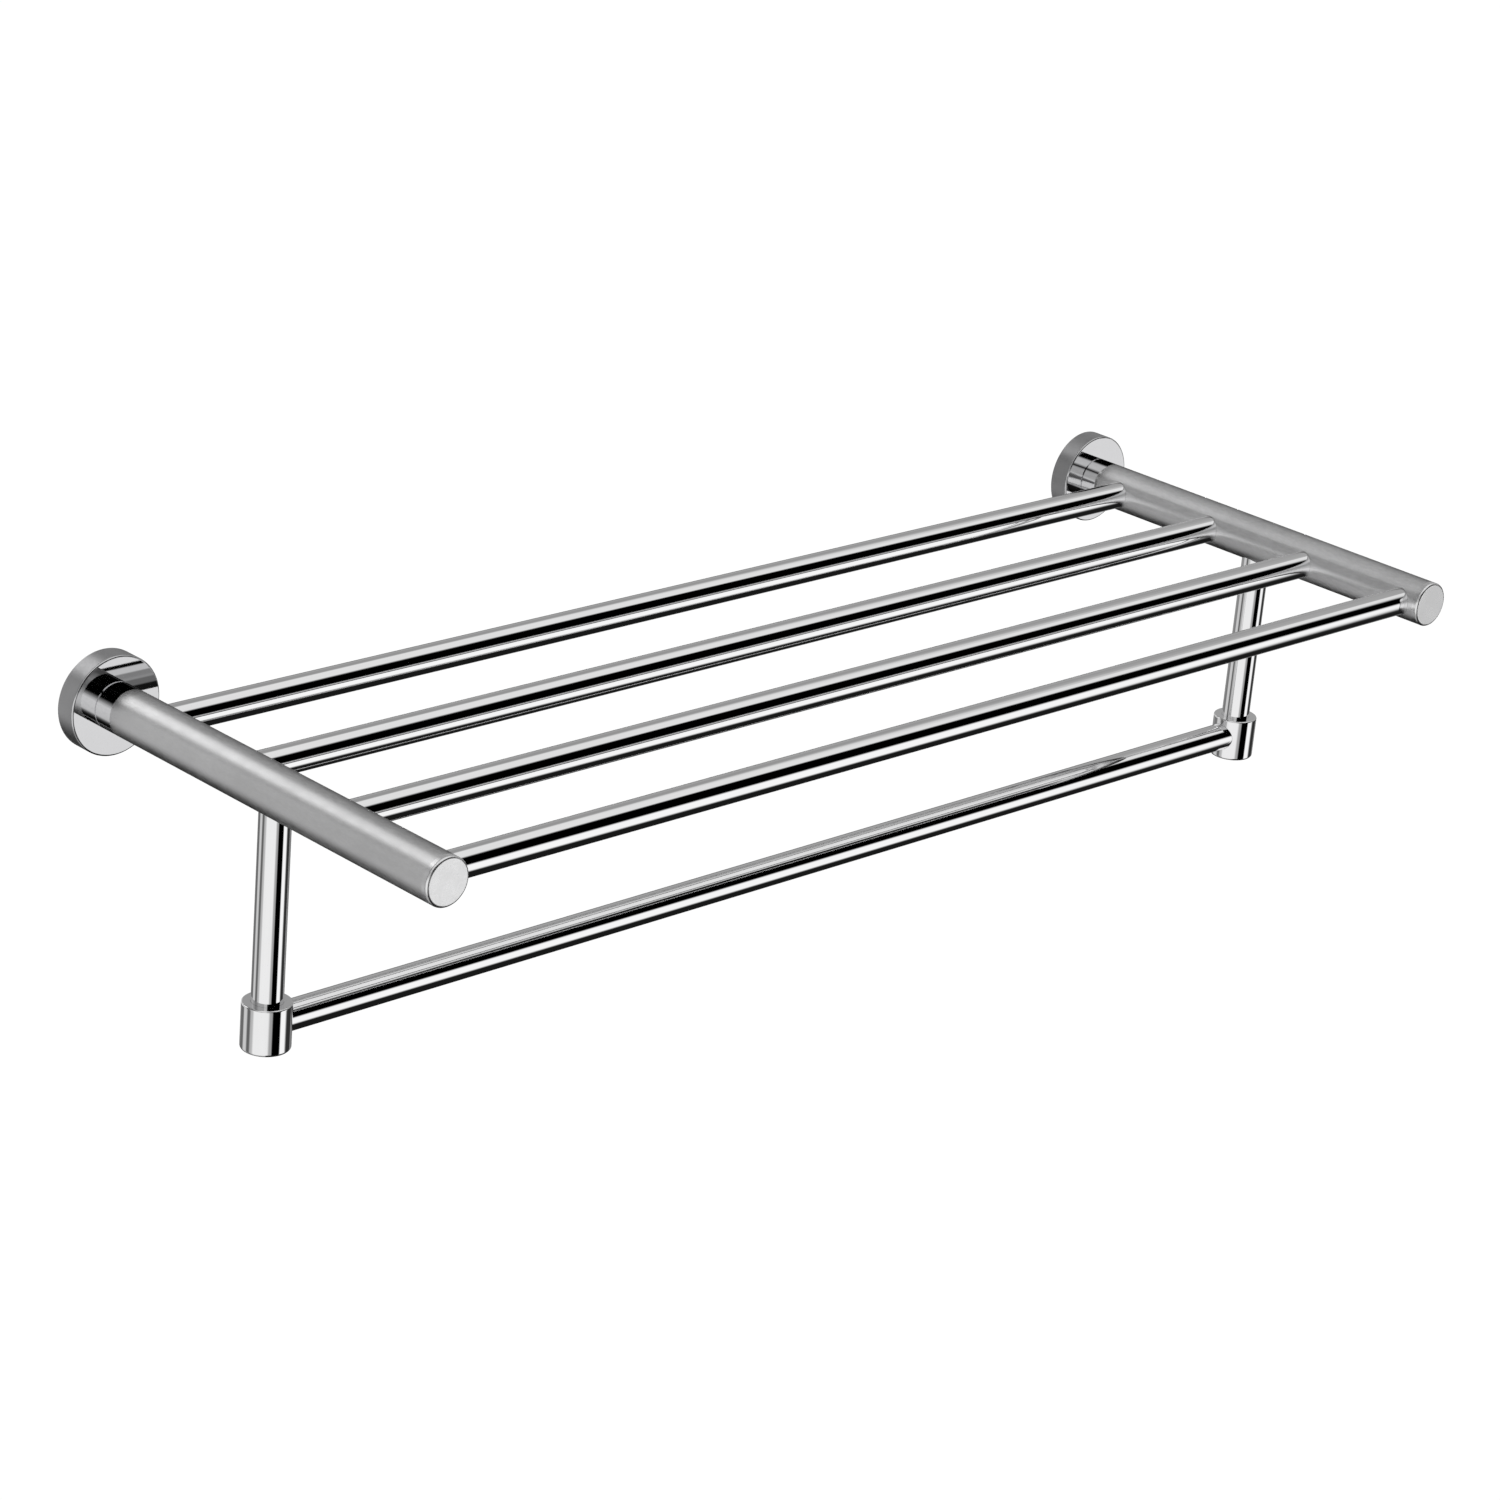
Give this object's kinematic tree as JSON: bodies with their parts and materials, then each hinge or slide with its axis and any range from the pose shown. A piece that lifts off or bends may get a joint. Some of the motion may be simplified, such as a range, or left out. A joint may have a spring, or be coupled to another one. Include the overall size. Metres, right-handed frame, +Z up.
{
  "type": "towel rack",
  "caption": "Wall-mounted towel shelf: round arms on disc flanges carry a rack of slim round bars, with a lower towel bar hung on drop rods; polished chrome.",
  "frame": {"origin": "centre of the wall screw pattern, on the wall plane, midway between the arms and at the height of the arms' centre lines", "axes": "+Z up, +Y into the wall, +X along the bars to the right seen from the front; the arms stand out along -Y"},
  "size_m": [0.644, 0.2245, 0.1341],
  "materials": {
    "polished_chrome": "mirror polished chrome plate",
    "arm_chrome": "satin polished chrome plate",
    "cap_chrome": "fine satin chrome plate",
    "flange_chrome": "polished chrome plate",
    "bracket_steel": "plain stamped stainless steel",
    "insert_brass": "turned brass",
    "fastener_steel": "stainless steel fastener"
  },
  "bodies": {
    "root": {"wall_bracket_left": "bracket_steel", "wall_bracket_right": "bracket_steel", "flange_grub_screws": "fastener_steel", "flange_left": "flange_chrome", "flange_right": "flange_chrome", "arm_bolts": "fastener_steel", "arm_insert_left": "insert_brass", "arm_insert_right": "insert_brass", "arm_tube_left": "arm_chrome", "arm_tube_right": "arm_chrome", "arm_end_cap_left": "cap_chrome", "arm_end_cap_right": "cap_chrome", "shelf_bar_1": "polished_chrome", "shelf_bar_2": "polished_chrome", "shelf_bar_3": "polished_chrome", "shelf_bar_4": "polished_chrome", "rod_anchor_left": "insert_brass", "rod_anchor_right": "insert_brass", "rod_studs": "fastener_steel", "drop_rod_left": "polished_chrome", "drop_rod_right": "polished_chrome", "boss_left": "polished_chrome", "boss_right": "polished_chrome", "boss_screws": "fastener_steel", "towel_bar": "polished_chrome", "towel_bar_insert_left": "insert_brass", "towel_bar_insert_right": "insert_brass"}
  },
  "joints": []
}
